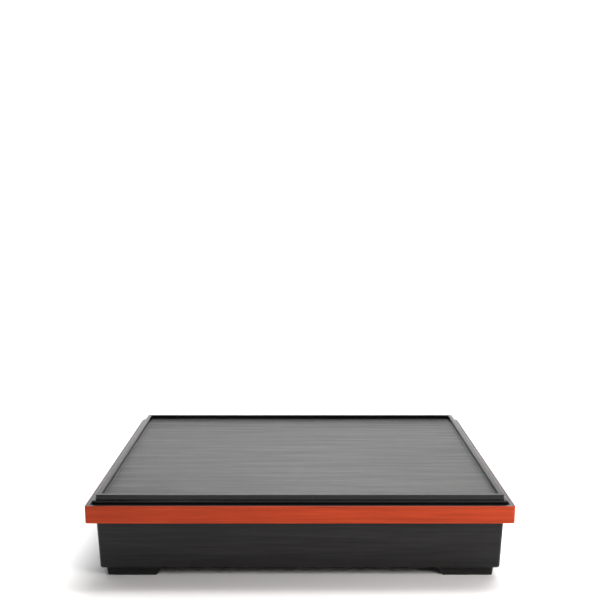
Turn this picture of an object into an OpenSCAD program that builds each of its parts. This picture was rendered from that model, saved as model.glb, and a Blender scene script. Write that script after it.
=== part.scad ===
// Lunch box in lacquered plastic, closed: a base box with a stepped-out rim band and four corner feet,
// a lift-out tray with six sloping wells, and a lid with a stepped rim round a sunken panel.
// Millimetres. The origin is the middle of the box on the surface that it stands on, +X is to the right,
// +Y is to the back and +Z is up. "In" is always counted from the outer face of the rim band.

/* [Base box] */
// Width over the rim band, left to right
rim_w = 318; // [260:1:400]
// Depth over the rim band, front to back
rim_d = 261; // [210:1:340]
// Corner radius of the rim band
rim_r = 2; // [1.2:0.1:5]
// Height of the body, from its underside to the rim band
body_h = 37.6; // [36:0.1:70]
// How much the body narrows on each side towards its underside
body_draft = 1.8; // [0.5:0.1:3]
// Corner radius of the body
body_r = 2.6; // [2:0.1:8]
// Height of the rim band, its lip included
band_h = 13.3; // [12:0.1:18]
// How much the rim band narrows on each side towards its lower edge
band_draft = 0.25; // [0:0.05:0.6]
// Width of the lip round the opening
lip_w = 3.75; // [3:0.05:5]
// Thickness of the body's walls and floor
wall_t = 2.3; // [1.8:0.1:3]
// Thickness of the ledge under the rim band
ledge_t = 2.5; // [2:0.1:3.2]

/* [Feet] */
// Height of the feet
foot_h = 7.6; // [5.5:0.1:12]
// Length of each leg of a corner foot at its sole
foot_l = 37.5; // [25:0.5:60]
// Width of each leg of a corner foot at its sole
foot_w = 7; // [5:0.5:12]
// How much a foot's outer faces lean out towards the body
foot_draft = 1.2; // [0.4:0.1:2]
// How much longer a leg is at the body than at its sole
foot_ramp = 5.5; // [2:0.5:8]

/* [Tray] */
// Thickness of the tray's flange and deck
flange_t = 2; // [1.6:0.1:2.6]
// Corner radius of the flange
flange_r = 3; // [2:0.5:6]
// Thickness of the wells' walls and floors
tub_t = 1.6; // [1.2:0.1:1.8]
// Depth of the large wells below the deck
well_depth = 29; // [16:0.5:36]
// Radius between a large well's walls and its floor
well_fillet = 3; // [1.5:0.5:6]
// Depth of the small square well
small_depth = 20; // [10:0.5:34]
// Radius between the small well's walls and its floor
small_fillet = 4.5; // [1.5:0.5:6]
// Side of the small square well
small_well = 50; // [44:1:60]
// Slope of the wells' walls away from upright, in degrees
well_slope = 19; // [6:1:26]
// Corner radius of the wells at the deck
well_r = 8; // [6:0.5:12]
// Radius that rounds the ridges over into the wells
ridge_round = 1.5; // [0.8:0.1:1.7]
// Width of the ridges between wells in one row
rib_w = 3.9; // [3.6:0.1:8]
// Width of the ridge between the two rows
row_rib_w = 6.8; // [4:0.1:12]
// Width of the ridge round the small square well
small_rib_w = 3.6; // [3.4:0.1:6]

/* [Lid] */
// Corner radius of the lid's outer face
lid_r = 2.2; // [1.2:0.1:4]
// Thickness of the skirt that stands inside the lip
skirt_t = 2; // [1.6:0.1:2.6]
// Height of the lower tier above the lip
tier_low_h = 2.5; // [1.5:0.1:4]
// Height of the upper tier above the lower one
tier_top_h = 3.8; // [3:0.1:6]
// How far the upper tier is set in from the lower one
tier_in = 1.9; // [1.2:0.1:3]
// Width of the raised rim round the panel
lid_rim_w = 3.9; // [3:0.1:6]
// How far the panel lies below the raised rim
recess_h = 3.4; // [1.5:0.1:3.6]
// Thickness of the panel
panel_t = 2.2; // [1.6:0.1:2.6]

/* [Clearances] */
// Gap between the lip and the lid's skirt
lid_gap = 1.1; // [0.5:0.1:1.6]
// Gap between the skirt and the tray's flange
tray_gap = 0.75; // [0.4:0.05:1.2]
// How far the tray's flange lies on the ledge
tray_seat = 1.6; // [1.2:0.1:2.5]
// Gap at the ledge between the wells' walls and the body
tub_gap = 0.4; // [0.3:0.05:1]
// Gap between the feet and the raised rim of a lid that they stand in
foot_gap = 2.7; // [1:0.1:5]

/* [Hidden] */
// Levels, from the surface that the box stands on
z_body = foot_h;
z_floor = z_body + wall_t;
z_band = z_body + body_h;
z_seat = z_band + ledge_t;
z_lip = z_band + band_h;
z_deck = z_seat + flange_t;
z_low_tier = z_lip + tier_low_h;
z_lid = z_low_tier + tier_top_h;
z_panel = z_lid - recess_h;
z_under = z_panel - panel_t;

// Places across the wall, in from the rim band's outer face
lid_in = lip_w + lid_gap;
under_in = lid_in + skirt_t;
tray_in = under_in + tray_gap;
seat_in = tray_in + tray_seat;
band_out = seat_in - wall_t;
body_in = band_out + body_draft;
floor_in = body_in + wall_t;
lid_rim_in = lid_in + tier_in;
recess_in = lid_rim_in + lid_rim_w;
foot_in = recess_in + foot_gap;
// Any place well inside every wall: the floor's, deck's and panel's profiles head for it
middle_in = 60;

// Roundings: sharp corners of a moulding, its outer edges, the body's lower edge, and fillets indoors
nick = 0.3;
edge = 0.5;
body_edge = 1.2;
floor_fillet = 1.5;
// Radius in plan of the corners inside the body, and how much upright walls lean so that they leave a mould
inner_r = max(body_r, 3);
lean = 0.2;

// Wells: their outlines at the deck are set in so that the tubs clear the body at the ledge
slope_run = tan(well_slope);
tub_w = tub_t / cos(well_slope);
well_in = seat_in + tub_gap + tub_w - slope_run * flange_t;
well_x = rim_w / 2 - well_in;
well_y = rim_d / 2 - well_in;
third = (2 * well_x - 2 * rib_w) / 3;
// A well's outward corners tighten towards its floor, and an inward one opens
floor_r = 3;
corner_taper = 0.45;
notch_r = well_r + small_rib_w;
notch_taper = 0.6;

// Steps round a corner in plan, and round an edge
corner_steps = 4;
well_steps = 6;
edge_steps = 2;
fillet_steps = 3;

// Direction from one point to another
function heading(a, b) = (b - a) / norm(b - a);
// Left-hand normal of a direction, which points inwards on an outline drawn anticlockwise
function left(d) = [-d.y, d.x];

// One rounded corner, after the outline is moved in: it turns from direction d1 to direction d2
function corner(p, d1, d2, in, r, steps) =
    let (q = p + in * (left(d1) + left(d2)), c = q + r * (d2 - d1))
    [for (i = [0 : steps]) let (t = 90 * i / steps) c + r * (sin(t) * d1 - cos(t) * d2)];

// A square-cornered outline moved in, with its outward corners rounded to r and its inward ones to r_in
function outline(pts, in, r, r_in, steps) =
    let (n = len(pts))
    [for (k = [0 : n - 1])
        let (
            d1 = heading(pts[(k + n - 1) % n], pts[k]),
            d2 = heading(pts[k], pts[(k + 1) % n]),
            outward = cross(d1, d2) > 0
        )
        each corner(pts[k], d1, d2, in, outward ? r : r_in, steps)];

function box_plan(x0, y0, x1, y1) = [[x0, y0], [x1, y0], [x1, y1], [x0, y1]];
function at_height(pts, z) = [for (p = pts) [p.x, p.y, z]];

// A profile's corner b, between a and c, rounded to radius r: points [in, z] along its arc
function bend(a, b, c, r, steps) =
    let (
        u = heading(b, a),
        v = heading(b, c),
        half = acos(u * v) / 2,
        m = b + heading([0, 0], u + v) * r / sin(half),
        from = b + u * r / tan(half) - m,
        to = b + v * r / tan(half) - m,
        turn = 180 - 2 * half
    )
    [for (i = [0 : steps])
        let (t = turn * i / steps)
        m + (sin(turn - t) * from + sin(t) * to) / sin(turn)];

// A closed solid through rings of equal length: the first faces down and the last faces up.
// A ring that isn't convex starts at a point that sees all of its others
module skin(rings) {
    n = len(rings[0]);
    last = len(rings) - 1;
    sides = [for (k = [0 : last - 1], i = [0 : n - 1])
        let (j = (i + 1) % n)
        [k * n + i, (k + 1) * n + i, (k + 1) * n + j, k * n + j]];
    under = [for (i = [0 : n - 1]) i];
    top = [for (i = [0 : n - 1]) last * n + (n - i) % n];
    polyhedron(points = [for (r = rings) each r], faces = concat([under], sides, [top]));
}

// A moulding with the rim band's outline and one section all round. Each corner of the section is
// [how far in, height, rounding, corner radius in plan], and the first and last only give directions
module moulding(section) {
    rim = box_plan(-rim_w / 2, -rim_d / 2, rim_w / 2, rim_d / 2);
    place = [for (c = section) [c[0], c[1]]];
    skin([for (k = [1 : len(section) - 2])
        each [for (p = bend(place[k - 1], place[k], place[k + 1], section[k][2], edge_steps))
            let (r = max(nick, section[k][3] + place[k].x - p.x))
            at_height(outline(rim, p.x, r, r, corner_steps), p.y)]]);
}

// The outer wall going up, over the lip, and the inner wall going down to the floor
module base_shell() moulding([
    [middle_in, z_body],
    [body_in, z_body, body_edge, body_r],
    [band_out, z_band, edge, body_r],
    [band_draft, z_band, edge, rim_r],
    [0, z_lip, edge, rim_r],
    [lip_w, z_lip, edge, edge],
    [lip_w + lean, z_seat, nick, edge],
    [seat_in, z_seat, edge, inner_r],
    [floor_in, z_floor, floor_fillet, inner_r],
    [middle_in, z_floor]
]);

// Outline of an angle-shaped corner foot, from its corner, which lies under the rim's front left corner
function foot_plan(out, length, width) =
    let (x = -rim_w / 2 + foot_in - out, y = -rim_d / 2 + foot_in - out)
    [[x, y], [x + length, y], [x + length, y + width], [x + width, y + width], [x + width, y + length],
        [x, y + length]];

// The legs' ends ramp down to the sole, and the root lies inside the body's floor
module foot() {
    sole = foot_plan(0, foot_l, foot_w);
    root = foot_plan(foot_draft, foot_l + foot_draft + foot_ramp, foot_w + 2 * foot_draft);
    skin([
        at_height(outline(sole, edge, 2 * edge, 2 * edge, edge_steps), 0),
        at_height(outline(sole, 0, 3 * edge, edge, edge_steps), edge),
        at_height(outline(root, 0, 4 * edge, edge, edge_steps), z_body + wall_t / 2)
    ]);
}

module base_box() color("#1f1e1d") {
    base_shell();
    for (mx = [0, 1], my = [0, 1]) mirror([mx, 0, 0]) mirror([0, my, 0]) foot();
}

// Wells: [outline at the deck, depth, fillet to the floor], outlines anticlockwise
small_x = -rib_w / 2 - small_well;
small_y = row_rib_w / 2 + small_well;
notch_x = small_x - small_rib_w;
notch_y = small_y + small_rib_w;
back_left = [[-well_x, well_y], [-well_x, row_rib_w / 2], [notch_x, row_rib_w / 2], [notch_x, notch_y],
    [-rib_w / 2, notch_y], [-rib_w / 2, well_y]];
WELLS = [
    [back_left, well_depth, well_fillet],
    [box_plan(small_x, row_rib_w / 2, -rib_w / 2, small_y), small_depth, small_fillet],
    [box_plan(rib_w / 2, row_rib_w / 2, well_x, well_y), well_depth, well_fillet],
    for (k = [0 : 2])
        let (x = -well_x + k * (third + rib_w))
        [box_plan(x, -well_y, x + third, -row_rib_w / 2), well_depth, well_fillet]
];

// A well's outline, moved in and at a depth, or grown outwards from there for the tub's outside
function well_ring(plan, in, depth, grow = 0) =
    at_height(
        outline(plan, in - grow, max(floor_r, well_r - corner_taper * in) + grow,
            notch_r + notch_taper * in - grow, well_steps),
        z_deck - depth);

// The space of a well: its floor, the sloping wall, the ridge's rounding, and on past the deck
module well_space(well) {
    floor = [slope_run * well[1], well[1]];
    top = [0, 0];
    over = 1;
    section = concat(
        bend([middle_in, well[1]], floor, top, well[2], fillet_steps),
        bend(floor, top, [-middle_in, 0], ridge_round, fillet_steps));
    skin([
        for (p = section) well_ring(well[0], p.x, p.y),
        well_ring(well[0], section[len(section) - 1].x, -over)
    ]);
}

// The outside of a well's tub, parallel to its inside, up to the middle of the deck
module well_tub(well) {
    floor = [slope_run * well[1], well[1]];
    inside = bend([middle_in, well[1]], floor, [0, 0], well[2], fillet_steps);
    skin([
        for (i = [0 : fillet_steps])
            let (t = 90 - (90 - well_slope) * i / fillet_steps)
            well_ring(well[0], inside[i].x, inside[i].y + tub_t * sin(t), tub_t * cos(t)),
        well_ring(well[0], slope_run * flange_t / 2, flange_t / 2, tub_w)
    ]);
}

module deck() moulding([
    [middle_in, z_seat],
    [tray_in, z_seat, nick, flange_r],
    [tray_in, z_deck, edge, flange_r],
    [middle_in, z_deck]
]);

module partition_tray() color("#a83a1c") difference() {
    union() {
        deck();
        for (well = WELLS) well_tub(well);
    }
    for (well = WELLS) well_space(well);
}

// The underside and the skirt's inner wall, and then the tiers, the raised rim and the panel
module lid() color("#2b2a29") moulding([
    [middle_in, z_under],
    [under_in + lean, z_under, floor_fillet, lid_r],
    [under_in, z_seat, nick, edge],
    [lid_in, z_seat, nick, lid_r],
    [lid_in, z_low_tier, edge, lid_r],
    [lid_rim_in, z_low_tier, nick, lid_r],
    [lid_rim_in, z_lid, edge, lid_r],
    [recess_in, z_lid, edge, edge],
    [recess_in + lean, z_panel, edge, edge],
    [middle_in, z_panel]
]);

base_box();
partition_tray();
lid();
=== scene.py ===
"""Looks of a closed lunch box in lacquered plastic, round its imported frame: base box, tray and lid.

Sizes of the three mouldings are in millimetres, as on a maker's drawing. Meshes, grains and the studio
are in metres. The origin is the middle of the box on the surface that it stands on, +X is to the right
and +Y to the back. An inset is how far a place lies in from the outer face of the base box's rim band,
or from a well's or foot's outline.
"""

import logging
import math
from dataclasses import dataclass
from enum import Enum
from typing import Any, Mapping, Optional, Sequence, Union

import bmesh
import bpy
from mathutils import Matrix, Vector


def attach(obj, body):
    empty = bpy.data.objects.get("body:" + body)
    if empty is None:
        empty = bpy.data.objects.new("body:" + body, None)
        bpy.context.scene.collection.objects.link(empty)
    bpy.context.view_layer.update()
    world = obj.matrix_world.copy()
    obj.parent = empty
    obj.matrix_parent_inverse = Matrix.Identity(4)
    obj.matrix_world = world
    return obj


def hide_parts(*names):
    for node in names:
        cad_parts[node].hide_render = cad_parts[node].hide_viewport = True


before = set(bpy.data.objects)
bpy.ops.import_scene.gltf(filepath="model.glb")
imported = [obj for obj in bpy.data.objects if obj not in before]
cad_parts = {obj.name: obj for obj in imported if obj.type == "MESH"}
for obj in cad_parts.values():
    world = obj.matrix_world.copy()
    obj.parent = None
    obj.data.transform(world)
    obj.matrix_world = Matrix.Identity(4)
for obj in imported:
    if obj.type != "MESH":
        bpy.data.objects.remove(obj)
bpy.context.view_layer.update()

MM = 0.001

# Points nearer to each other than this many metres are welded.
WELD = 2e-6
# An edge at a height is one whose ends are this near to it, in metres.
NEAR = 1e-6
# Smallest rounding of an edge and smallest radius of a corner, in millimetres.
NICK, LEAST_RADIUS = 0.3, 0.15
# Straight pieces round each corner of a wall, and in each rounding of its section.
WALL_STEPS, WALL_EDGE_STEPS = 8, 5
WELL_STEPS, WELL_EDGE_STEPS, FLANGE_EDGE_STEPS = 12, 8, 4
FOOT_STEPS, FOOT_EDGE_STEPS = 6, 4
SWEEP_STEPS = 16
# Nodes to a row of a tree, and their spacing.
ROW, NODE_WIDTH, NODE_HEIGHT = 12, 180.0, 240.0

log = logging.getLogger("lunch_box")

Term = Union["Value", int, float]
Colour = tuple[float, float, float]
Point = tuple[float, float]
Mesh = bpy.types.Mesh


class Value:
    """A number in a node tree. Python's operators on it add the Math nodes that work it out."""

    def __init__(self, graph: "Graph", socket: bpy.types.NodeSocket) -> None:
        """Wrap an output socket of a graph's node."""
        self.graph = graph
        self.socket = socket

    def math(self, operation: str, *others: Term) -> "Value":
        """Result of a Math node on this value and the others."""
        return self.graph.math(operation, self, *others)

    def __add__(self, other: Term) -> "Value":
        """Sum of two values."""
        return self.math("ADD", other)

    __radd__ = __add__

    def __sub__(self, other: Term) -> "Value":
        """Difference of two values."""
        return self.math("SUBTRACT", other)

    def __rsub__(self, other: Term) -> "Value":
        """Difference of another value or number and this value."""
        return self.graph.math("SUBTRACT", other, self)

    def __mul__(self, other: Term) -> "Value":
        """Product of two values."""
        return self.math("MULTIPLY", other)

    __rmul__ = __mul__

    def __truediv__(self, other: Term) -> "Value":
        """Quotient of two values."""
        return self.math("DIVIDE", other)

    def __mod__(self, other: Term) -> "Value":
        """Remainder of a division by a value."""
        return self.math("FLOORED_MODULO", other)

    def __floordiv__(self, other: Term) -> "Value":
        """Whole quotient of two values."""
        return (self / other).math("FLOOR")

    def __abs__(self) -> "Value":
        """This value without its sign."""
        return self.math("ABSOLUTE")


class Made:
    """A node that a graph has made, read by the names, identifiers or places of its outputs."""

    def __init__(self, graph: "Graph", node: bpy.types.Node) -> None:
        """Wrap a new node."""
        self.graph = graph
        self.node = node

    def __getitem__(self, key: Union[str, int]) -> Value:
        """Value of one of the node's outputs."""
        return Value(self.graph, find_socket(self.node.outputs, key))


def find_socket(sockets: Any, key: Union[str, int]) -> bpy.types.NodeSocket:
    """Find a socket of a node.

    Args:
        sockets: The node's inputs or outputs.
        key: The socket's place, its identifier, or its name among the sockets in use.

    Returns:
        The socket.
    """
    if isinstance(key, int):
        return sockets[key]
    named = [s for s in sockets if s.name == key and s.enabled]
    return (named or [s for s in sockets if s.identifier == key])[0]


class Graph:
    """A node tree that is written as Python expressions, for shaders and for geometry."""

    def __init__(self, tree: bpy.types.NodeTree) -> None:
        """Write into a tree."""
        self.tree = tree

    def node(
        self,
        kind: str,
        settings: Optional[Mapping[str, Any]] = None,
        inputs: Optional[Mapping[Union[str, int], Any]] = None,
    ) -> Made:
        """Make a node.

        Args:
            kind: The node's type.
            settings: Its properties, set before its sockets. "stops" holds a colour ramp's stops.
            inputs: What its sockets get: a Value or each Value of a list is linked, and anything else
                is set on the socket.

        Returns:
            The node, whose outputs are read by name.
        """
        node = self.tree.nodes.new(kind)
        line, place = divmod(len(self.tree.nodes), ROW)
        node.location = (NODE_WIDTH * place, -NODE_HEIGHT * line)
        for name, setting in (settings or {}).items():
            if name == "stops":
                self._set_stops(node, setting)
            else:
                setattr(node, name, setting)
        for key, given in (inputs or {}).items():
            socket = find_socket(node.inputs, key)
            if isinstance(given, (Value, list)):
                for value in given if isinstance(given, list) else [given]:
                    self.tree.links.new(value.socket, socket)
            else:
                rgb = socket.type == "RGBA" and len(given) == 3
                socket.default_value = (*given, 1.0) if rgb else given
        return Made(self, node)

    def first(self, kind: str, settings: Mapping[str, Any], inputs: Mapping[Any, Any]) -> Value:
        """Make a node as node does, and give its first output."""
        return self.node(kind, settings, inputs)[0]

    def _set_stops(self, node: bpy.types.Node, stops: Sequence[tuple[float, float]]) -> None:
        """Give a colour ramp its stops.

        Args:
            node: The ramp.
            stops: Place and grey of each stop.
        """
        elements = node.color_ramp.elements
        while len(elements) < len(stops):
            elements.new(1.0)
        for element, (place, grey) in zip(elements, stops):
            element.position = place
            element.color = (grey, grey, grey, 1.0)

    def math(self, operation: str, *values: Term) -> Value:
        """Result of a Math node on one to three values."""
        return self.first("ShaderNodeMath", {"operation": operation}, dict(enumerate(values)))

    def vector(self, x: Any, y: Any, z: Any = 0.0) -> Value:
        """Vector with these parts."""
        return self.first("ShaderNodeCombineXYZ", {}, {"X": x, "Y": y, "Z": z})

    def parts(self, vector: Value) -> tuple[Value, Value, Value]:
        """The three parts of a vector."""
        made = self.node("ShaderNodeSeparateXYZ", {}, {0: vector})
        return made[0], made[1], made[2]

    def noise(self, place: Value, detail: float = 2.0, rough: float = 0.5, count: float = 1.0) -> Value:
        """Make a noise.

        Args:
            place: The vector that it is read at.
            detail: Count of its finer layers.
            rough: How strong the finer layers are.
            count: Count of its features to each unit of the place.

        Returns:
            The noise, from 0 to 1.
        """
        settings = {"noise_dimensions": "3D", "noise_type": "FBM", "normalize": True}
        inputs = {"Vector": place, "Scale": count, "Detail": detail, "Roughness": rough}
        return self.first("ShaderNodeTexNoise", settings, inputs)

    def mix(self, factor: Value, low: Any, high: Any) -> Value:
        """Colour between two colours."""
        inputs = {"Factor_Float": factor, "A_Color": low, "B_Color": high}
        return self.node("ShaderNodeMix", {"data_type": "RGBA"}, inputs)["Result_Color"]

    def stretch(
        self, value: Value, low: float = 0.3, high: float = 0.7, bottom: float = 0.0, top: float = 1.0
    ) -> Value:
        """Value whose span from low to high becomes the span from bottom to top, and is kept in it."""
        return self.first("ShaderNodeValToRGB", {"stops": ((low, bottom), (high, top))}, {"Fac": value})

    def bump(self, height: Value, depth: float) -> Value:
        """Normal of a surface that is raised by a height from 0 to 1, times a depth in metres."""
        return self.first("ShaderNodeBump", {}, {"Strength": 1.0, "Distance": depth, "Height": height})


def box_outline(x0: float, y0: float, x1: float, y1: float) -> list[Point]:
    """Corners of an upright rectangle, anticlockwise."""
    return [(x0, y0), (x1, y0), (x1, y1), (x0, y1)]


@dataclass(frozen=True)
class Levels:
    """Sizes and heights that the three mouldings share, in millimetres.

    Attributes:
        rim_w: Width over the rim band.
        rim_d: Depth over the rim band.
        body: Height of the body's underside.
        floor: Height of the base box's floor.
        band: Height of the rim band's lower edge.
        seat: Height of the ledge that the tray and the lid stand on.
        deck: Height of the tray's deck.
        lip: Height of the lip.
        middle: An inset past every wall, which a section's flat ends head for.
    """

    rim_w: float = 318.0
    rim_d: float = 261.0
    body: float = 7.6
    floor: float = 9.9
    band: float = 45.2
    seat: float = 47.7
    deck: float = 49.7
    lip: float = 58.5
    middle: float = 60.0

    def outline(self) -> list[Point]:
        """Outline of the rim band."""
        return box_outline(-self.rim_w / 2, -self.rim_d / 2, self.rim_w / 2, self.rim_d / 2)


LEVELS = Levels()


class Lay(Enum):
    """The way that the lines of a grain run."""

    LEFT_TO_RIGHT = "left to right"
    ROUND_THE_BOX = "round the box"


@dataclass(frozen=True)
class Grain:
    """Fine wavy lines moulded into a face, as of planed and brushed wood. Counts are to the metre.

    Attributes:
        lay: The way that the lines run.
        wide: Count of the broad lines across the lay.
        fine: Count of the fine lines across the lay.
        long: Count of a broad line's swellings along the lay.
        shorter: How many times shorter the fine lines are.
        wander: How far the lines wander to the side, in metres.
        wander_long: Count of the lines' wanderings along the lay.
        wander_wide: Count of the wanderings across the lay.
        depth: Depth of the lines, in metres.
    """

    lay: Lay
    wide: float
    fine: float = 1900.0
    long: float = 14.0
    shorter: float = 2.5
    wander: float = 0.0012
    wander_long: float = 9.0
    wander_wide: float = 45.0
    depth: float = 0.00006

    def axes(self, graph: Graph) -> tuple[Value, Value]:
        """Places along and across the lay.

        Args:
            graph: The material's graph.

        Returns:
            How far along the lines and how far across them a point lies, in metres. Round the box,
            across is up a face and on over its upper edge.
        """
        x, y, z = graph.parts(graph.node("ShaderNodeTexCoord")["Object"])
        if self.lay is Lay.LEFT_TO_RIGHT:
            return x, y
        half_x, half_y = LEVELS.rim_w / 2 * MM, LEVELS.rim_d / 2 * MM
        return x + y, z + (half_x - abs(x)).math("MINIMUM", half_y - abs(y))

    def lines(self, graph: Graph, along: Value, across: Value) -> tuple[Value, Value]:
        """Heights of the lines.

        Args:
            graph: The material's graph.
            along: Place along the lay, in metres.
            across: Place across the lay, in metres.

        Returns:
            The broad lines and the fine ones, each from 0 to 1.
        """
        wave_layer, broad_layer, fine_layer = 3.7, 1.3, 8.1
        wave = graph.noise(graph.vector(along * self.wander_long, across * self.wander_wide, wave_layer))
        bent = across + (wave - 0.5) * (2.0 * self.wander)
        place = graph.vector(along * self.long, bent * self.wide, broad_layer)
        broad = graph.noise(place, detail=4.0, rough=0.62)
        place = graph.vector(along * self.long * self.shorter, bent * self.fine, fine_layer)
        return broad, graph.noise(place, rough=0.6)


def new_material(name: str) -> tuple[bpy.types.Material, Graph]:
    """Make a material.

    Args:
        name: Its name.

    Returns:
        The material, and the graph of its empty tree.
    """
    made = bpy.data.materials.new(name)
    made.use_nodes = True
    made.node_tree.nodes.clear()
    return made, Graph(made.node_tree)


@dataclass(frozen=True)
class Finish:
    """A material of nodes, which each kind of finish gives its own inputs.

    Attributes:
        name: The material's name.
        dark: Colour in the hollows of the finish.
        light: Colour on its heights.
    """

    name: str
    dark: Colour
    light: Colour

    def inputs(self, graph: Graph) -> dict[str, Any]:
        """What the shader's sockets get. Each kind of finish has its own."""
        raise NotImplementedError

    def material(self) -> bpy.types.Material:
        """Find the finish's material, which is made at its first use.

        Returns:
            The material.
        """
        found = bpy.data.materials.get(self.name)
        if found is not None:
            return found
        made, graph = new_material(self.name)
        shader = graph.first("ShaderNodeBsdfPrincipled", {}, self.inputs(graph))
        graph.node("ShaderNodeOutputMaterial", {}, {"Surface": shader})
        return made


@dataclass(frozen=True)
class GrainedPlastic(Finish):
    """Satin plastic or paint over a moulded grain, lighter on the ridges of the grain.

    Attributes:
        grain: The grain.
        roughness: Mean roughness.
        spread: How much the roughness varies over the grain.
        specular: The shader's specular level.
        fine_share: The fine lines' share of the grain's height.
    """

    grain: Grain
    roughness: float = 0.4
    spread: float = 0.12
    specular: float = 0.5
    fine_share: float = 0.35

    def inputs(self, graph: Graph) -> dict[str, Any]:
        """Colour, roughness and normal that follow the grain's lines.

        Args:
            graph: The material's graph.

        Returns:
            What the shader's sockets get.
        """
        broad, fine = self.grain.lines(graph, *self.grain.axes(graph))
        height = broad * (1.0 - self.fine_share) + fine * self.fine_share
        ridge = graph.stretch(height, low=0.34, high=0.66)
        return {
            "Base Color": graph.mix(ridge, self.dark, self.light),
            "Roughness": self.roughness + (0.5 - broad) * self.spread,
            "Specular IOR Level": self.specular,
            "Normal": graph.bump(height, self.grain.depth),
        }


@dataclass(frozen=True)
class PolishedPlastic(Finish):
    """Glossy moulded plastic or lacquer: a slow waviness in its face, and faint rubbing.

    Attributes:
        roughness: Roughness of the clean gloss.
        rubbed: Roughness added where it is rubbed.
        coat: Weight of the clear coat.
        coat_roughness: Roughness of the clear coat.
        specular: The shader's specular level.
        waves: Count of the slow waves to the metre.
        ripples: Count of the small ripples to the metre.
        rub: Count of the rubbed marks to the metre along X, Y and Z.
        rub_slant: How much Y adds to the marks' place along X, to the metre.
        ripple_share: The ripples' share of the waviness.
        wave: Depth of the waviness, in metres.
    """

    roughness: float = 0.1
    rubbed: float = 0.08
    coat: float = 0.0
    coat_roughness: float = 0.03
    specular: float = 0.5
    waves: float = 22.0
    ripples: float = 260.0
    rub: tuple[float, float, float] = (90.0, 400.0, 120.0)
    rub_slant: float = 30.0
    ripple_share: float = 0.3
    wave: float = 0.000012

    def inputs(self, graph: Graph) -> dict[str, Any]:
        """Colour, roughness and normal that drift slowly over the face.

        Args:
            graph: The material's graph.

        Returns:
            What the shader's sockets get.
        """
        place = graph.node("ShaderNodeTexCoord")["Object"]
        x, y, z = graph.parts(place)
        slow = graph.noise(place, detail=3.0, count=self.waves)
        peel = graph.noise(place, detail=1.0, count=self.ripples)
        along, across, up = self.rub
        mark = graph.vector(x * along + y * self.rub_slant, y * across, z * up)
        rubbed = graph.noise(mark, detail=4.0, rough=0.7)
        wavy = slow * (1.0 - self.ripple_share) + peel * self.ripple_share
        return {
            "Base Color": graph.mix(graph.stretch(slow), self.dark, self.light),
            "Roughness": self.roughness + graph.stretch(rubbed, low=0.45, high=0.8, top=self.rubbed),
            "Specular IOR Level": self.specular,
            "Coat Weight": self.coat,
            "Coat Roughness": self.coat_roughness,
            "Normal": graph.bump(wavy, self.wave),
        }


@dataclass(frozen=True)
class MouldedPlastic(Finish):
    """Unpainted plastic as it leaves a mould that was lightly blasted.

    Attributes:
        roughness: Mean roughness.
        spread: How much the roughness varies from cloud to cloud.
        clouds: Count of the clouds to the metre.
        pits: Count of the pits to the metre.
        depth: Depth of the pits, in metres.
    """

    roughness: float = 0.42
    spread: float = 0.1
    clouds: float = 18.0
    pits: float = 1400.0
    depth: float = 0.000012

    def inputs(self, graph: Graph) -> dict[str, Any]:
        """Colour, roughness and normal of the pitted face.

        Args:
            graph: The material's graph.

        Returns:
            What the shader's sockets get.
        """
        place = graph.node("ShaderNodeTexCoord")["Object"]
        pitted = graph.noise(place, count=self.pits)
        cloud = graph.noise(place, detail=3.0, count=self.clouds)
        return {
            "Base Color": graph.mix(graph.stretch(pitted), self.dark, self.light),
            "Roughness": self.roughness + (cloud - 0.5) * self.spread,
            "Normal": graph.bump(pitted, self.depth),
        }


@dataclass(frozen=True)
class Ring:
    """One ring of a lofted wall, in millimetres.

    Attributes:
        inset: How far the ring lies in from the outline.
        height: Its height.
        radius: Radius of its outward corners.
        notch: Radius of its inward corners.
        finish: Number of the finish of the wall from here to the next ring.
    """

    inset: float
    height: float
    radius: float
    notch: float = 0.0
    finish: int = 0


@dataclass(frozen=True)
class Edge:
    """One corner of a section, in millimetres, which its wall goes round.

    Attributes:
        inset: How far in the corner lies.
        height: Its height.
        rounding: Radius that rounds it.
        radius: Radius in plan of the wall's corners there.
        finish: Number of the finish of the wall from here to the next corner.
        turn: Number of the finish on the rounding, or None for the wall's after it.
    """

    inset: float
    height: float
    rounding: float
    radius: float
    finish: int = 0
    turn: Optional[int] = None


def bend(before: Point, corner: Point, after: Point, radius: float, steps: int) -> list[Point]:
    """Round a section's corner.

    Args:
        before: A place on the line that comes to the corner.
        corner: The corner.
        after: A place on the line that leaves it.
        radius: Radius of the rounding.
        steps: Count of the rounding's straight pieces.

    Returns:
        Places along the rounding, its two ends included.
    """
    tip = Vector(corner)
    u, v = (Vector(before) - tip).normalized(), (Vector(after) - tip).normalized()
    half = math.acos(max(-1.0, min(1.0, u.dot(v)))) / 2
    middle = tip + (u + v).normalized() * (radius / math.sin(half))
    reach = radius / math.tan(half)
    start, end = tip + u * reach - middle, tip + v * reach - middle
    turn = math.pi - 2 * half
    places = []
    for i in range(steps + 1):
        angle = turn * i / steps
        spoke = (start * math.sin(turn - angle) + end * math.sin(angle)) / math.sin(turn)
        places.append(tuple(middle + spoke))
    return places


def rounded(start: Point, edges: Sequence[Edge], end: Point, steps: int) -> list[Ring]:
    """Rings of a wall whose section has rounded corners.

    Args:
        start: Where the first line comes from.
        edges: The section's corners.
        end: Where the last line goes.
        steps: Count of each rounding's straight pieces.

    Returns:
        The rings, from the first corner to the last.
    """
    places = [start, *[(e.inset, e.height) for e in edges], end]
    rings = []
    for k, edge in enumerate(edges):
        turn = edge.finish if edge.turn is None else edge.turn
        arc = bend(places[k], places[k + 1], places[k + 2], edge.rounding, steps)
        for i, (inset, height) in enumerate(arc):
            radius = max(LEAST_RADIUS, edge.radius + edge.inset - inset)
            rings.append(Ring(inset, height, radius, finish=edge.finish if i == steps else turn))
    return rings


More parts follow.
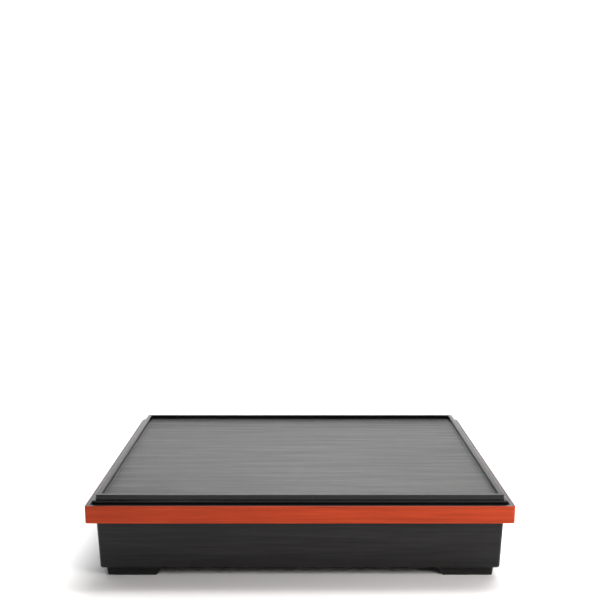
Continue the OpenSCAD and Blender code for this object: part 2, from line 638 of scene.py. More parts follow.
class RingLoft:
    """Geometry Nodes tree that carries a section round a square-cornered outline.

    The section is the object's own mesh: each vertex is a ring, with its inset as X and its height as Y.
    The outline is another object's vertices, in their order, anticlockwise.
    """

    SECTION, OUTLINE, STEPS, WELD = "Section", "Outline", "Corner Steps", "Weld Distance"

    def __init__(self, finishes: Sequence[Finish]) -> None:
        """Build the tree, with one material input for each finish.

        Args:
            finishes: The finishes, in the order of their numbers.
        """
        self.finishes = list(finishes)
        self.tree = bpy.data.node_groups.new("ring_loft", "GeometryNodeTree")
        sockets = {
            self.SECTION: "Geometry", self.OUTLINE: "Object", self.STEPS: "Int", self.WELD: "Float",
        }
        sockets.update({finish.name: "Material" for finish in self.finishes})
        self._write(Graph(name_sockets(self.tree, sockets, "Wall")))

    def _write(self, graph: Graph) -> None:
        """Write the tree's nodes.

        Args:
            graph: The tree's graph.
        """
        given = graph.node("NodeGroupInput")
        section, steps = given[self.SECTION], given[self.STEPS]
        outline = graph.node("GeometryNodeObjectInfo", {}, {"Object": given[self.OUTLINE]})["Geometry"]
        corners = self._count(graph, outline)
        rings = self._count(graph, section)
        index = graph.node("GeometryNodeInputIndex")["Index"]
        per_corner = steps + 1.0
        round_count = corners * per_corner
        counts = {"Vertices X": round_count + 1.0, "Vertices Y": rings}
        wall = graph.first("GeometryNodeMeshGrid", {}, counts)

        place = (index // rings) % round_count
        corner = place // per_corner
        angle = (place % per_corner) / steps * (math.pi / 2)
        px, py = self._corner(graph, outline, corner)
        ax, ay = self._corner(graph, outline, (corner + corners - 1.0) % corners)
        bx, by = self._corner(graph, outline, (corner + 1.0) % corners)
        d1x, d1y = self._heading(px - ax, py - ay)
        d2x, d2y = self._heading(bx - px, by - py)
        ring = index % rings
        inset, height, _ = graph.parts(self._sample(graph, section, self._position(graph), ring))
        radius, notch = (
            self._sample(graph, section, self._attribute(graph, name, "FLOAT"), ring, "FLOAT")
            for name in ("radius", "notch")
        )
        outward = (d1x * d2y - d1y * d2x).math("GREATER_THAN", 0.0)
        bow = radius * outward + notch * (1.0 - outward)
        sine, cosine = angle.math("SINE"), angle.math("COSINE")
        x = px - inset * (d1y + d2y) + bow * (d2x - d1x + sine * d1x - cosine * d2x)
        y = py + inset * (d1x + d2x) + bow * (d2y - d1y + sine * d1y - cosine * d2y)
        strip = index % (rings - 1.0)
        number = self._sample(graph, section, self._attribute(graph, "finish", "INT"), strip, "INT")
        per_face = {"data_type": "INT", "domain": "FACE"}
        for kind, settings, inputs in (
            ("SetPosition", {}, {"Position": graph.vector(x, y, height)}),
            ("StoreNamedAttribute", per_face, {"Name": "finish", "Value": number}),
            ("MergeByDistance", {}, {"Distance": given[self.WELD]}),
            ("SetShadeSmooth", {}, {}),
            ("RealizeInstances", {}, {}),
        ):
            wall = graph.first(f"GeometryNode{kind}", settings, {"Geometry": wall, **inputs})
        for k, finish in enumerate(self.finishes):
            chosen = self._attribute(graph, "finish", "INT").math("COMPARE", float(k), 0.5)
            inputs = {"Geometry": wall, "Selection": chosen, "Material": given[finish.name]}
            wall = graph.first("GeometryNodeSetMaterial", {}, inputs)
        graph.node("NodeGroupOutput", {}, {"Wall": wall})

    @staticmethod
    def _count(graph: Graph, geometry: Value) -> Value:
        """Count of a mesh's vertices."""
        return graph.node("GeometryNodeAttributeDomainSize", {}, {"Geometry": geometry})["Point Count"]

    @staticmethod
    def _position(graph: Graph) -> Value:
        """Position of each point."""
        return graph.first("GeometryNodeInputPosition", {}, {})

    @staticmethod
    def _attribute(graph: Graph, name: str, kind: str) -> Value:
        """Named attribute of each point or face."""
        return graph.first("GeometryNodeInputNamedAttribute", {"data_type": kind}, {"Name": name})

    @staticmethod
    def _sample(
        graph: Graph, geometry: Value, value: Value, index: Value, kind: str = "FLOAT_VECTOR"
    ) -> Value:
        """A value at one point of a mesh."""
        inputs = {"Geometry": geometry, "Value": value, "Index": index}
        return graph.first("GeometryNodeSampleIndex", {"data_type": kind, "domain": "POINT"}, inputs)

    def _corner(self, graph: Graph, outline: Value, index: Value) -> tuple[Value, Value]:
        """X and Y of one of the outline's corners."""
        x, y, _ = graph.parts(self._sample(graph, outline, self._position(graph), index))
        return x, y

    @staticmethod
    def _heading(x: Value, y: Value) -> tuple[Value, Value]:
        """Direction of a line that runs along X or Y."""
        length = abs(x) + abs(y)
        return x / length, y / length

    def walls(self, name: str, rings: Sequence[Ring], outline: Sequence[Point], steps: int) -> Mesh:
        """Loft a wall.

        Args:
            name: Name for the mesh.
            rings: The section's rings, in millimetres.
            outline: The outline's corners, anticlockwise, in millimetres.
            steps: Count of the straight pieces round a corner.

        Returns:
            The wall as a plain mesh in metres, open at its first and last rings.
        """
        section = bpy.data.meshes.new(f"{name}_section")
        places = [(r.inset * MM, r.height * MM, 0.0) for r in rings]
        section.from_pydata(places, [(i, i + 1) for i in range(len(rings) - 1)], [])
        for field, kind, values in (
            ("radius", "FLOAT", [r.radius * MM for r in rings]),
            ("notch", "FLOAT", [r.notch * MM for r in rings]),
            ("finish", "INT", [r.finish for r in rings]),
        ):
            section.attributes.new(field, kind, "POINT").data.foreach_set("value", values)
        corners = bpy.data.meshes.new(f"{name}_outline")
        corners.from_pydata([(x * MM, y * MM, 0.0) for x, y in outline], [], [])
        guide = bpy.data.objects.new(f"{name}_outline", corners)
        lofted = bpy.data.objects.new(f"{name}_section", section)
        for helper in (guide, lofted):
            bpy.context.scene.collection.objects.link(helper)
        settings = {self.OUTLINE: guide, self.STEPS: steps, self.WELD: WELD}
        settings.update({finish.name: finish.material() for finish in self.finishes})
        mesh = run_nodes(lofted, self.tree, settings)
        for helper in (guide, lofted):
            bpy.data.objects.remove(helper)
        return mesh


def name_sockets(tree: bpy.types.NodeTree, inputs: Mapping[str, str], output: str) -> bpy.types.NodeTree:
    """Give a Geometry Nodes tree its inputs and its one output.

    Args:
        tree: The tree.
        inputs: Kind of each input, by name.
        output: Name of the output.

    Returns:
        The tree.
    """
    for name, kind in inputs.items():
        tree.interface.new_socket(name, in_out="INPUT", socket_type=f"NodeSocket{kind}")
    tree.interface.new_socket(output, in_out="OUTPUT", socket_type="NodeSocketGeometry")
    return tree


def run_nodes(target: bpy.types.Object, tree: bpy.types.NodeTree, settings: Mapping[str, Any]) -> Mesh:
    """Run a Geometry Nodes tree on an object.

    Args:
        target: The object, whose modifier is removed again.
        tree: The tree.
        settings: The tree's inputs by name.

    Returns:
        The result as a plain mesh.
    """
    modifier = target.modifiers.new(tree.name, "NODES")
    modifier.node_group = tree
    for item in tree.interface.items_tree:
        if item.item_type == "SOCKET" and item.in_out == "INPUT" and item.name in settings:
            modifier[item.identifier] = settings[item.name]
    bpy.context.view_layer.update()
    mesh = bpy.data.meshes.new_from_object(target.evaluated_get(bpy.context.evaluated_depsgraph_get()))
    target.modifiers.remove(modifier)
    return mesh


class Shell:
    """A closed mesh in the making, put together from lofted walls and the flat faces between them."""

    def __init__(self, finishes: Sequence[Finish]) -> None:
        """Start with no faces, and with the finishes in the order of their numbers."""
        self.finishes = list(finishes)
        self.mesh = bmesh.new()

    def add(self, walls: Mesh) -> None:
        """Add a wall, with each face's finish kept.

        Args:
            walls: The wall. It is removed.
        """
        names = [finish.name for finish in self.finishes]
        numbers = [names.index(m.name) if m else 0 for m in walls.materials]
        first = len(self.mesh.faces)
        self.mesh.from_mesh(walls)
        self.mesh.faces.ensure_lookup_table()
        for face in self.mesh.faces[first:]:
            face.material_index = numbers[face.material_index] if numbers else 0
        bpy.data.meshes.remove(walls)

    def flat(self, height: float, finish: int, holes: bool = False) -> None:
        """Close the open edges at a height with flat faces.

        Args:
            height: The height, in millimetres.
            finish: Number of the faces' finish.
            holes: Whether some of the edges go round holes in the face.
        """
        edges = [
            e for e in self.mesh.edges
            if e.is_boundary and all(abs(v.co.z - height * MM) < NEAR for v in e.verts)
        ]
        before = set(self.mesh.faces)
        if holes:
            bmesh.ops.triangle_fill(self.mesh, use_beauty=True, use_dissolve=False, edges=edges)
        else:
            bmesh.ops.edgeloop_fill(self.mesh, edges=edges)
        for face in set(self.mesh.faces) - before:
            face.material_index = finish
            face.smooth = True

    def close(self, name: str) -> bpy.types.Object:
        """Turn the shell into an object.

        Args:
            name: The object's name.

        Returns:
            The object, at the origin, with normals that keep its flats flat and its roundings smooth.
        """
        bmesh.ops.remove_doubles(self.mesh, verts=self.mesh.verts, dist=WELD)
        bmesh.ops.recalc_face_normals(self.mesh, faces=self.mesh.faces)
        open_edges = sum(not e.is_manifold for e in self.mesh.edges)
        data = bpy.data.meshes.new(name)
        self.mesh.to_mesh(data)
        self.mesh.free()
        for finish in self.finishes:
            data.materials.append(finish.material())
        made = bpy.data.objects.new(name, data)
        bpy.context.scene.collection.objects.link(made)
        weighted = made.modifiers.new("weighted_normals", "WEIGHTED_NORMAL")
        weighted.mode, weighted.weight = "FACE_AREA", 100
        bpy.context.view_layer.update()
        depsgraph = bpy.context.evaluated_depsgraph_get()
        final = bpy.data.meshes.new_from_object(
            made.evaluated_get(depsgraph), preserve_all_data_layers=True, depsgraph=depsgraph
        )
        made.modifiers.remove(weighted)
        made.data = final
        bpy.data.meshes.remove(data)
        final.name = name
        log.info("%s: %d faces, %d open edges", name, len(final.polygons), open_edges)
        return made


BODY_GRAIN = Grain(Lay.ROUND_THE_BOX, wide=520.0, wander=0.0006)
PANEL_GRAIN = Grain(
    Lay.LEFT_TO_RIGHT, wide=210.0, long=11.0, wander=0.004, wander_long=7.0, wander_wide=28.0, depth=0.0006
)
CHARCOAL = GrainedPlastic(
    "grained_charcoal", (0.006, 0.0055, 0.006), (0.016, 0.015, 0.0155), BODY_GRAIN,
    roughness=0.46, specular=0.2,
)
BAND_RED = GrainedPlastic(
    "grained_vermilion", (0.29, 0.027, 0.004), (0.47, 0.047, 0.009), BODY_GRAIN, specular=0.15
)
LIP_BLACK = GrainedPlastic(
    "satin_lip", (0.008, 0.0075, 0.0075), (0.016, 0.015, 0.015), BODY_GRAIN, roughness=0.3
)
PANEL = GrainedPlastic(
    "grained_panel", (0.009, 0.0085, 0.0085), (0.028, 0.027, 0.0265), PANEL_GRAIN,
    roughness=0.36, spread=0.25, specular=0.33,
)
GLOSS_BLACK = PolishedPlastic(
    "polished_black", (0.003, 0.003, 0.0032), (0.006, 0.0058, 0.006), specular=0.25
)
WELL_RED = PolishedPlastic(
    "polished_vermilion", (0.34, 0.03, 0.003), (0.43, 0.041, 0.005), roughness=0.16, coat=1.0
)
MOULDED = MouldedPlastic("moulded_black", (0.007, 0.0068, 0.007), (0.015, 0.0145, 0.015))


@dataclass
class BaseBox:
    """The base: body, rim band, lip, ledge and four corner feet in one moulding. Millimetres.

    Attributes:
        lip_w: Width of the lip.
        band_draft: How much the rim band narrows towards its lower edge.
        band_r: Corner radius of the rim band.
        band_inset: Inset of the body's wall under the band.
        body_inset: Inset of the body's wall at its underside.
        body_r: Corner radius of the body.
        seat_inset: Inset of the ledge's inner edge.
        floor_inset: Inset of the inner wall at the floor.
        inner_r: Corner radius of the inner wall.
        lean: How much upright inner walls lean.
        edge: Rounding of outer edges.
        body_edge: Rounding of the body's lower edge.
        floor_fillet: Radius between the inner wall and the floor.
        foot_inset: Inset of the feet's soles.
        foot_l: Length of a foot's leg at its sole.
        foot_w: Width of a foot's leg at its sole.
        foot_draft: How much a foot's faces lean out towards the body.
        foot_ramp: How much longer a leg is at the body.
        foot_root: How far a foot reaches up into the floor.
        foot_edge: Rounding of a foot's sole.
        foot_r: Radius of a foot's outward corners over its sole.
        foot_notch: Radius of its inward corner there.
        root_r: Radius of its outward corners at the top.
        root_notch: Radius of its inward corner there.
    """

    lip_w: float = 3.75
    band_draft: float = 0.25
    band_r: float = 2.0
    band_inset: float = 6.9
    body_inset: float = 8.7
    body_r: float = 2.6
    seat_inset: float = 9.2
    floor_inset: float = 11.0
    inner_r: float = 3.0
    lean: float = 0.2
    edge: float = 0.5
    body_edge: float = 1.2
    floor_fillet: float = 1.5
    foot_inset: float = 13.35
    foot_l: float = 37.5
    foot_w: float = 7.0
    foot_draft: float = 1.2
    foot_ramp: float = 5.5
    foot_root: float = 1.15
    foot_edge: float = 0.5
    foot_r: float = 1.5
    foot_notch: float = 1.0
    root_r: float = 2.5
    root_notch: float = 0.6

    def build(self) -> bpy.types.Object:
        """Build the base box.

        Returns:
            The object, which stands for the node base_box.
        """
        finishes = [CHARCOAL, BAND_RED, LIP_BLACK, MOULDED]
        body, red, lip, inside = range(4)
        rings = rounded(
            (LEVELS.middle, LEVELS.body),
            [
                Edge(self.body_inset, LEVELS.body, self.body_edge, self.body_r, body),
                Edge(self.band_inset, LEVELS.band, self.edge, self.body_r, body),
                Edge(self.band_draft, LEVELS.band, self.edge, self.band_r, red),
                Edge(0.0, LEVELS.lip, self.edge, self.band_r, lip, turn=red),
                Edge(self.lip_w, LEVELS.lip, self.edge, self.edge, inside, turn=lip),
                Edge(self.lip_w + self.lean, LEVELS.seat, NICK, self.edge, inside),
                Edge(self.seat_inset, LEVELS.seat, self.edge, self.inner_r, inside),
                Edge(self.floor_inset, LEVELS.floor, self.floor_fillet, self.inner_r, inside),
            ],
            (LEVELS.middle, LEVELS.floor),
            WALL_EDGE_STEPS,
        )
        shell = Shell(finishes)
        shell.add(RingLoft(finishes).walls("base_wall", rings, LEVELS.outline(), WALL_STEPS))
        shell.flat(LEVELS.body, inside)
        shell.flat(LEVELS.floor, inside)
        box = shell.close("base_shell")
        foot = self._foot(finishes)
        settings = {
            "Foot": foot,
            "Spread X": (LEVELS.rim_w - 2 * self.foot_inset) * MM,
            "Spread Y": (LEVELS.rim_d - 2 * self.foot_inset) * MM,
            "Foot Finish": CHARCOAL.material(),
        }
        moulding = run_nodes(box, self._feet_tree(), settings)
        bpy.data.objects.remove(foot)
        bpy.data.objects.remove(box)
        merged = Shell(finishes)
        merged.add(moulding)
        made = merged.close("base_box_moulding")
        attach(made, "base")
        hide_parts("base_box")
        return made

    def _foot(self, finishes: Sequence[Finish]) -> bpy.types.Object:
        """Make one angle-shaped foot, for the box's front left corner.

        Args:
            finishes: The base box's finishes, of which the foot has the first.

        Returns:
            The foot, with its sole's corner at the origin and its legs along +X and +Y.
        """
        long, wide = self.foot_l, self.foot_w
        low = [(0.0, 0.0), (long, 0.0), (long, wide), (wide, wide), (wide, long), (0.0, long)]
        high = [tuple(c + (self.foot_ramp if c == long else 0.0) for c in corner) for corner in low]
        top = LEVELS.body + self.foot_root
        levels = []
        for i in range(FOOT_EDGE_STEPS + 1):
            angle = math.pi / 2 * i / FOOT_EDGE_STEPS
            inset = self.foot_edge * (1 - math.sin(angle))
            height = self.foot_edge * (1 - math.cos(angle))
            levels.append((height, outline_points(low, inset, self.foot_r - inset, self.foot_notch)))
        levels.append((top, outline_points(high, -self.foot_draft, self.root_r, self.root_notch)))
        shell = Shell(finishes)
        rows = [[shell.mesh.verts.new((x * MM, y * MM, z * MM)) for x, y in loop] for z, loop in levels]
        for k, (row, over) in enumerate(zip(rows, rows[1:])):
            for i in range(len(row)):
                face = shell.mesh.faces.new((row[i - 1], row[i], over[i], over[i - 1]))
                face.smooth = k < FOOT_EDGE_STEPS
        shell.flat(0.0, 0)
        shell.flat(top, 0)
        return shell.close("foot")

    @staticmethod
    def _feet_tree() -> bpy.types.NodeTree:
        """Build the tree that sets a foot at each corner of the body and merges them with it.

        Returns:
            The tree, whose faces from a foot are marked and get the foot's finish.
        """
        tree = bpy.data.node_groups.new("feet_at_corners", "GeometryNodeTree")
        sockets = {
            "Body": "Geometry", "Foot": "Object", "Spread X": "Float", "Spread Y": "Float",
            "Foot Finish": "Material",
        }
        graph = Graph(name_sockets(tree, sockets, "Moulding"))
        given = graph.node("NodeGroupInput")
        sizes = {"Size X": given["Spread X"], "Size Y": given["Spread Y"], "Vertices X": 2, "Vertices Y": 2}
        corners = graph.first("GeometryNodeMeshGrid", {}, sizes)
        x, y, _ = graph.parts(graph.first("GeometryNodeInputPosition", {}, {}))
        front_left = math.radians(-135)
        turn = graph.math("ARCTAN2", y.math("SIGN"), x.math("SIGN")) - front_left
        foot = graph.node("GeometryNodeObjectInfo", {}, {"Object": given["Foot"]})["Geometry"]
        mark = {"Geometry": foot, "Name": "foot", "Value": True}
        foot = graph.first(
            "GeometryNodeStoreNamedAttribute", {"data_type": "BOOLEAN", "domain": "FACE"}, mark
        )
        placed = {"Points": corners, "Instance": foot, "Rotation": graph.vector(0.0, 0.0, turn)}
        feet = graph.first("GeometryNodeInstanceOnPoints", {}, placed)
        feet = graph.first("GeometryNodeRealizeInstances", {}, {"Geometry": feet})
        union = {"operation": "UNION", "solver": "EXACT"}
        whole = graph.first("GeometryNodeMeshBoolean", union, {"Mesh": [given["Body"], feet]})
        whole = graph.first("GeometryNodeRealizeInstances", {}, {"Geometry": whole})
        marked = graph.first("GeometryNodeInputNamedAttribute", {"data_type": "BOOLEAN"}, {"Name": "foot"})
        inputs = {"Geometry": whole, "Selection": marked, "Material": given["Foot Finish"]}
        graph.node("NodeGroupOutput", {}, {"Moulding": graph.first("GeometryNodeSetMaterial", {}, inputs)})
        return tree


def outline_points(outline: Sequence[Point], inset: float, radius: float, notch: float) -> list[Point]:
    """Points of a square-cornered outline that is moved in and rounded.

    Args:
        outline: Its corners, anticlockwise.
        inset: How far it is moved in.
        radius: Radius of outward corners.
        notch: Radius of inward corners.

    Returns:
        The points, with each corner in a foot's count of straight pieces.
    """
    points = []
    for k, corner in enumerate(outline):
        here = Vector(corner)
        d1 = (here - Vector(outline[k - 1])).normalized()
        d2 = (Vector(outline[(k + 1) % len(outline)]) - here).normalized()
        bow = radius if d1.x * d2.y - d1.y * d2.x > 0 else notch
        tip = here + inset * (Vector((-d1.y, d1.x)) + Vector((-d2.y, d2.x)))
        for i in range(FOOT_STEPS + 1):
            angle = math.pi / 2 * i / FOOT_STEPS
            points.append(tuple(tip + bow * (d2 - d1 + math.sin(angle) * d1 - math.cos(angle) * d2)))
    return points


@dataclass(frozen=True)
class Well:
    """One well of the tray, in millimetres.

    Attributes:
        outline: Its outline at the deck, anticlockwise.
        depth: Its depth.
        fillet: Radius between its walls and its floor.
    """

    outline: tuple[Point, ...]
    depth: float
    fillet: float


@dataclass
class PartitionTray:
    """The lift-out tray: a flange and ridges, and six wells with sloping walls. Millimetres.

    Attributes:
        flange_inset: Inset of the flange's edge.
        flange_r: Corner radius of the flange.
        wall: Thickness of the wells' walls and floors.
        slope: Slope of the wells' walls away from upright, in degrees.
        well_r: Corner radius of the wells at the deck.
        floor_r: Least corner radius of a well's floor.
        taper: How fast outward corners tighten as they go in.
        notch_taper: How fast inward corners open as they go in.
        ridge_round: Rounding of the ridges' edges.
        painted: Count of that rounding's straight pieces that are red.
        rib: Width of the ridges in a row.
        row_rib: Width of the ridge between the rows.
        small_rib: Width of the ridge round the small well.
        small: Side of the small well.
        well_inset: Inset of the outer wells' outlines.
        depth: Depth of the large wells.
        fillet: Radius between a large well's walls and its floor.
        small_depth: Depth of the small well.
        small_fillet: Radius between the small well's walls and its floor.
        edge: Rounding of the flange's upper edge.
    """

    flange_inset: float = 7.6
    flange_r: float = 3.0
    wall: float = 1.6
    slope: float = 19.0
    well_r: float = 8.0
    floor_r: float = 3.0
    taper: float = 0.45
    notch_taper: float = 0.6
    ridge_round: float = 1.5
    painted: int = 3
    rib: float = 3.9
    row_rib: float = 6.8
    small_rib: float = 3.6
    small: float = 50.0
    well_inset: float = 10.6035
    depth: float = 29.0
    fillet: float = 3.0
    small_depth: float = 20.0
    small_fillet: float = 4.5
    edge: float = 0.5

    @property
    def run(self) -> float:
        """How far a well's wall goes in for each millimetre that it goes down."""
        return math.tan(math.radians(self.slope))

    def wells(self) -> list[Well]:
        """List the wells: the angled, the small and the right one at the back, then three in front.

        Returns:
            The wells.
        """
        x, y = LEVELS.rim_w / 2 - self.well_inset, LEVELS.rim_d / 2 - self.well_inset
        back, right = self.row_rib / 2, self.rib / 2
        small_x, small_y = -right - self.small, back + self.small
        notch_x, notch_y = small_x - self.small_rib, small_y + self.small_rib
        third = (2 * x - 2 * self.rib) / 3
        angled = ((-x, y), (-x, back), (notch_x, back), (notch_x, notch_y), (-right, notch_y), (-right, y))
        wells = [
            Well(angled, self.depth, self.fillet),
            Well(tuple(box_outline(small_x, back, -right, small_y)), self.small_depth, self.small_fillet),
            Well(tuple(box_outline(right, back, x, y)), self.depth, self.fillet),
        ]
        for k in range(3):
            left = -x + k * (third + self.rib)
            front = box_outline(left, -y, left + third, -back)
            wells.append(Well(tuple(front), self.depth, self.fillet))
        return wells

    def _ring(self, inset: float, depth: float, grow: float = 0.0, finish: int = 0) -> Ring:
        """Make a ring of a well, or of the tub's outside at a distance from it.

        Args:
            inset: How far in the well's ring lies.
            depth: How far under the deck it lies.
            grow: How far out from it the tub's ring lies.
            finish: Number of the finish of the wall from here to the next ring.

        Returns:
            The ring, whose outward corners tighten and inward ones open as it goes in.
        """
        radius = max(self.floor_r, self.well_r - self.taper * inset) + grow
        notch = self.well_r + self.small_rib + self.notch_taper * inset - grow
        return Ring(inset - grow, LEVELS.deck - depth, radius, notch, finish)

    def _inside(self, well: Well, black: int, red: int) -> list[Ring]:
        """List the rings of a well's inside, from its floor up to the deck.

        Args:
            well: The well.
            black: Number of the ridges' finish.
            red: Number of the wells' finish.

        Returns:
            The rings, with the red ending part of the way round the ridge's edge.
        """
        floor, top = (self.run * well.depth, well.depth), (0.0, 0.0)
        low = bend((LEVELS.middle, well.depth), floor, top, well.fillet, WELL_EDGE_STEPS)
        high = bend(floor, top, (-LEVELS.middle, 0.0), self.ridge_round, WELL_EDGE_STEPS)
        rings = [self._ring(inset, depth, finish=red) for inset, depth in low]
        for i, (inset, depth) in enumerate(high):
            rings.append(self._ring(inset, depth, finish=red if i < self.painted else black))
        return rings

    def _outside(self, well: Well, finish: int) -> list[Ring]:
        """List the rings of a well's outside, from its underside up to the deck's underside.

        Args:
            well: The well.
            finish: Number of the outside's finish.

        Returns:
            The rings.
        """
        floor = (self.run * well.depth, well.depth)
        inside = bend((LEVELS.middle, well.depth), floor, (0.0, 0.0), well.fillet, WELL_EDGE_STEPS)
        rings = []
        for i, (inset, depth) in enumerate(inside):
            t = math.radians(90 - (90 - self.slope) * i / WELL_EDGE_STEPS)
            rings.append(self._ring(inset, depth + self.wall * math.sin(t), self.wall * math.cos(t), finish))
        under = LEVELS.deck - LEVELS.seat
        grow = self.wall / math.cos(math.radians(self.slope))
        rings.append(self._ring(self.run * under, under, grow, finish))
        return rings

    def build(self) -> bpy.types.Object:
        """Build the tray.

        Returns:
            The object, which stands for the node partition_tray.
        """
        finishes = [GLOSS_BLACK, WELL_RED, MOULDED]
        black, red, under = range(3)
        loft = RingLoft(finishes)
        shell = Shell(finishes)
        rim = rounded(
            (LEVELS.middle, LEVELS.seat),
            [
                Edge(self.flange_inset, LEVELS.seat, NICK, self.flange_r, black),
                Edge(self.flange_inset, LEVELS.deck, self.edge, self.flange_r, black),
            ],
            (LEVELS.middle, LEVELS.deck),
            FLANGE_EDGE_STEPS,
        )
        shell.add(loft.walls("flange", rim, LEVELS.outline(), WALL_STEPS))
        for well in self.wells():
            shell.add(loft.walls("well", self._inside(well, black, red), well.outline, WELL_STEPS))
            shell.add(loft.walls("tub", self._outside(well, under), well.outline, WELL_STEPS))
        shell.flat(LEVELS.deck, black, holes=True)
        shell.flat(LEVELS.seat, under, holes=True)
        for depth in sorted({well.depth for well in self.wells()}):
            shell.flat(LEVELS.deck - depth, red)
            shell.flat(LEVELS.deck - depth - self.wall, under)
        made = shell.close("tray_moulding")
        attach(made, "tray")
        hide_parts("partition_tray")
        return made


@dataclass
class SteppedLid:
    """The lid: a skirt, two tiers, a raised rim and a sunken panel in one moulding. Millimetres.

    Attributes:
        inset: Inset of the skirt and the lower tier.
        skirt: Thickness of the skirt.
        corner_r: Corner radius of the outer face.
        low_tier: Height of the lower tier's top.
        tier_in: How far the upper tier is set in.
        top: Height of the raised rim.
        rim: Width of the raised rim.
        panel: Height of the panel.
        under: Height of the panel's underside.
        lean: How much upright inner walls lean.
        edge: Rounding of outer edges.
        under_fillet: Radius between the skirt and the underside.
    """

    inset: float = 4.85
    skirt: float = 2.0
    corner_r: float = 2.2
    low_tier: float = 61.0
    tier_in: float = 1.9
    top: float = 64.8
    rim: float = 3.9
    panel: float = 61.4
    under: float = 59.2
    lean: float = 0.2
    edge: float = 0.5
    under_fillet: float = 1.5

    def build(self) -> bpy.types.Object:
        """Build the lid.

        Returns:
            The object, which stands for the node lid.
        """
        finishes = [GLOSS_BLACK, PANEL, MOULDED]
        gloss, panel, under = range(3)
        inner = self.inset + self.skirt
        upper = self.inset + self.tier_in
        recess = upper + self.rim
        rings = rounded(
            (LEVELS.middle, self.under),
            [
                Edge(inner + self.lean, self.under, self.under_fillet, self.corner_r, under),
                Edge(inner, LEVELS.seat, NICK, self.edge, under),
                Edge(self.inset, LEVELS.seat, NICK, self.corner_r, gloss),
                Edge(self.inset, self.low_tier, self.edge, self.corner_r, gloss),
                Edge(upper, self.low_tier, NICK, self.corner_r, gloss),
                Edge(upper, self.top, self.edge, self.corner_r, gloss),
                Edge(recess, self.top, self.edge, self.edge, gloss),
                Edge(recess + self.lean, self.panel, self.edge, self.edge, panel, turn=gloss),
            ],
            (LEVELS.middle, self.panel),
            WALL_EDGE_STEPS,
        )
        shell = Shell(finishes)
        shell.add(RingLoft(finishes).walls("lid_wall", rings, LEVELS.outline(), WALL_STEPS))
        shell.flat(self.under, under)
        shell.flat(self.panel, panel)
        made = shell.close("lid_moulding")
        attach(made, "lid")
        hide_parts("lid")
        return made


@dataclass(frozen=True)
class SoftBox:
    """A rectangular studio lamp, in metres and watts.

    Attributes:
        name: The lamp's name.
        place: Where it stands.
        aim: The place that it faces.
        width: Its width.
        height: Its height.
        power: Its power.
        colour: Its colour.
    """

    name: str
    place: tuple[float, float, float]
    aim: tuple[float, float, float]
    width: float
    height: float
    power: float
    colour: Colour = (1.0, 1.0, 1.0)

    def build(self) -> None:
        """Set the lamp up."""
        data = bpy.data.lights.new(self.name, "AREA")
        data.shape = "RECTANGLE"
        data.size, data.size_y = self.width, self.height
        data.energy = self.power
        data.color = self.colour
        lamp = bpy.data.objects.new(self.name, data)
        lamp.location = self.place
        facing = Vector(self.aim) - Vector(self.place)
        lamp.rotation_euler = facing.to_track_quat("-Z", "Y").to_euler()
        bpy.context.scene.collection.objects.link(lamp)


LAMPS = (
    SoftBox("key_right", (0.55, -0.55, 0.4), (0.1, 0.0, 0.03), width=0.35, height=0.35, power=4.5,
            colour=(1.0, 0.97, 0.94)),
    SoftBox("overhead", (0.35, 0.9, 1.9), (0.0, 0.3, 0.0), width=1.8, height=1.2, power=60.0),
    SoftBox("wall_light", (0.3, 0.4, 1.9), (0.0, 3.0, 0.8), width=3.2, height=0.6, power=90.0),
    SoftBox("small_left", (-0.22, -0.9, 0.75), (-0.05, 0.0, 0.05), width=0.12, height=0.12, power=0.9),
)


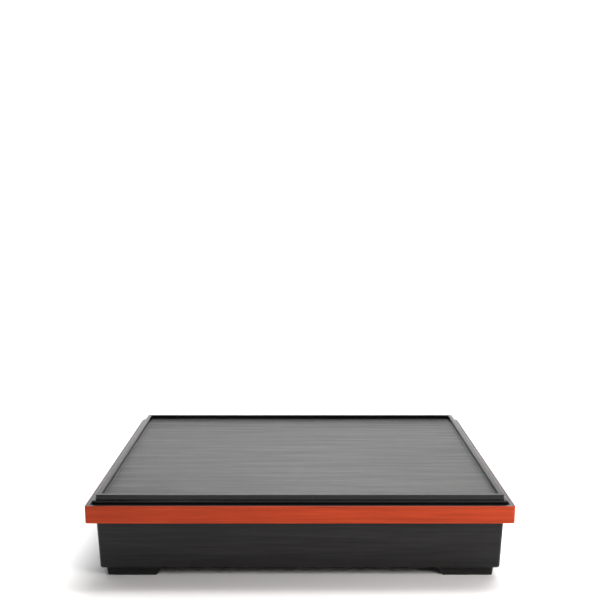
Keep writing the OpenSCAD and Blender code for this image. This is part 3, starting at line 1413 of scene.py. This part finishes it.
@dataclass
class Studio:
    """Pale seamless floor, soft lamps and the camera at the photograph's angle, in metres.

    Attributes:
        half_width: Half the floor's width.
        front: How far the floor reaches to the front.
        back: Where the floor starts to curve up.
        sweep: Radius of the curve.
        wall: Height of the wall behind it.
        camera_place: Where the camera stands.
        camera_pitch: How far the camera looks down, in degrees.
        focal_px: The camera's focal length in pixels of a picture 600 wide.
        picture: The picture's width, in pixels.
        sensor: The camera's width over its sensor, in millimetres.
        paper: Brightness of the floor's paper.
        sky: Brightness of the surroundings behind the box.
        dusk: Brightness of the surroundings in front of it.
        lamps: The lamps.
    """

    half_width: float = 5.0
    front: float = 5.0
    back: float = 1.9
    sweep: float = 1.1
    wall: float = 4.0
    camera_place: tuple[float, float, float] = (0.0, -0.796, 0.292)
    camera_pitch: float = 6.9
    focal_px: float = 936.0
    picture: float = 600.0
    sensor: float = 36.0
    paper: float = 0.9
    sky: float = 0.85
    dusk: float = 0.05
    lamps: tuple[SoftBox, ...] = LAMPS

    def build(self) -> None:
        """Set up the floor, the surroundings, the lamps and the camera."""
        self._floor()
        self._world()
        for lamp in self.lamps:
            lamp.build()
        self._camera()

    def _floor(self) -> None:
        """Lay the floor, which curves up into a wall behind the box."""
        profile = [(-self.front, 0.0)]
        for i in range(SWEEP_STEPS + 1):
            angle = math.pi / 2 * i / SWEEP_STEPS
            profile.append((self.back + self.sweep * math.sin(angle), self.sweep * (1 - math.cos(angle))))
        profile.append((self.back + self.sweep, self.wall))
        verts = [(x, y, z) for y, z in profile for x in (-self.half_width, self.half_width)]
        faces = [(2 * i, 2 * i + 1, 2 * i + 3, 2 * i + 2) for i in range(len(profile) - 1)]
        data = bpy.data.meshes.new("studio_floor")
        data.from_pydata(verts, [], faces)
        data.polygons.foreach_set("use_smooth", [True] * len(faces))
        floor = bpy.data.objects.new("studio_floor", data)
        material, graph = new_material("pale_paper")
        shader = graph.first("ShaderNodeBsdfDiffuse", {}, {"Color": (self.paper,) * 3})
        graph.node("ShaderNodeOutputMaterial", {}, {"Surface": shader})
        data.materials.append(material)
        bpy.context.scene.collection.objects.link(floor)

    def _world(self) -> None:
        """Surround the studio with light that is dimmer in front of the box than behind it."""
        world = bpy.data.worlds.new("studio_surroundings")
        world.use_nodes = True
        world.node_tree.nodes.clear()
        graph = Graph(world.node_tree)
        _, depth, _ = graph.parts(graph.node("ShaderNodeTexCoord")["Generated"])
        front_to_back = depth * 0.5 + 0.5
        strength = graph.stretch(front_to_back, low=0.35, high=0.75, bottom=self.dusk, top=self.sky)
        shader = graph.first("ShaderNodeBackground", {}, {"Color": (1.0, 1.0, 1.0), "Strength": strength})
        graph.node("ShaderNodeOutputWorld", {}, {"Surface": shader})
        bpy.context.scene.world = world
        bpy.context.scene.view_settings.view_transform = "Standard"

    def _camera(self) -> None:
        """Stand the camera up."""
        data = bpy.data.cameras.new("camera")
        data.sensor_width = self.sensor
        data.lens = self.focal_px / self.picture * self.sensor
        data.clip_start = 0.01
        camera = bpy.data.objects.new("camera", data)
        camera.location = self.camera_place
        camera.rotation_euler = (math.radians(90 - self.camera_pitch), 0.0, 0.0)
        bpy.context.scene.collection.objects.link(camera)
        bpy.context.scene.camera = camera


def main() -> None:
    """Build the studio and the box."""
    logging.basicConfig(level=logging.INFO, format="%(name)s: %(message)s")
    Studio().build()
    for part in (BaseBox(), PartitionTray(), SteppedLid()):
        made = part.build()
        log.info("built %s", made.name)


if __name__ == "__main__":
    main()
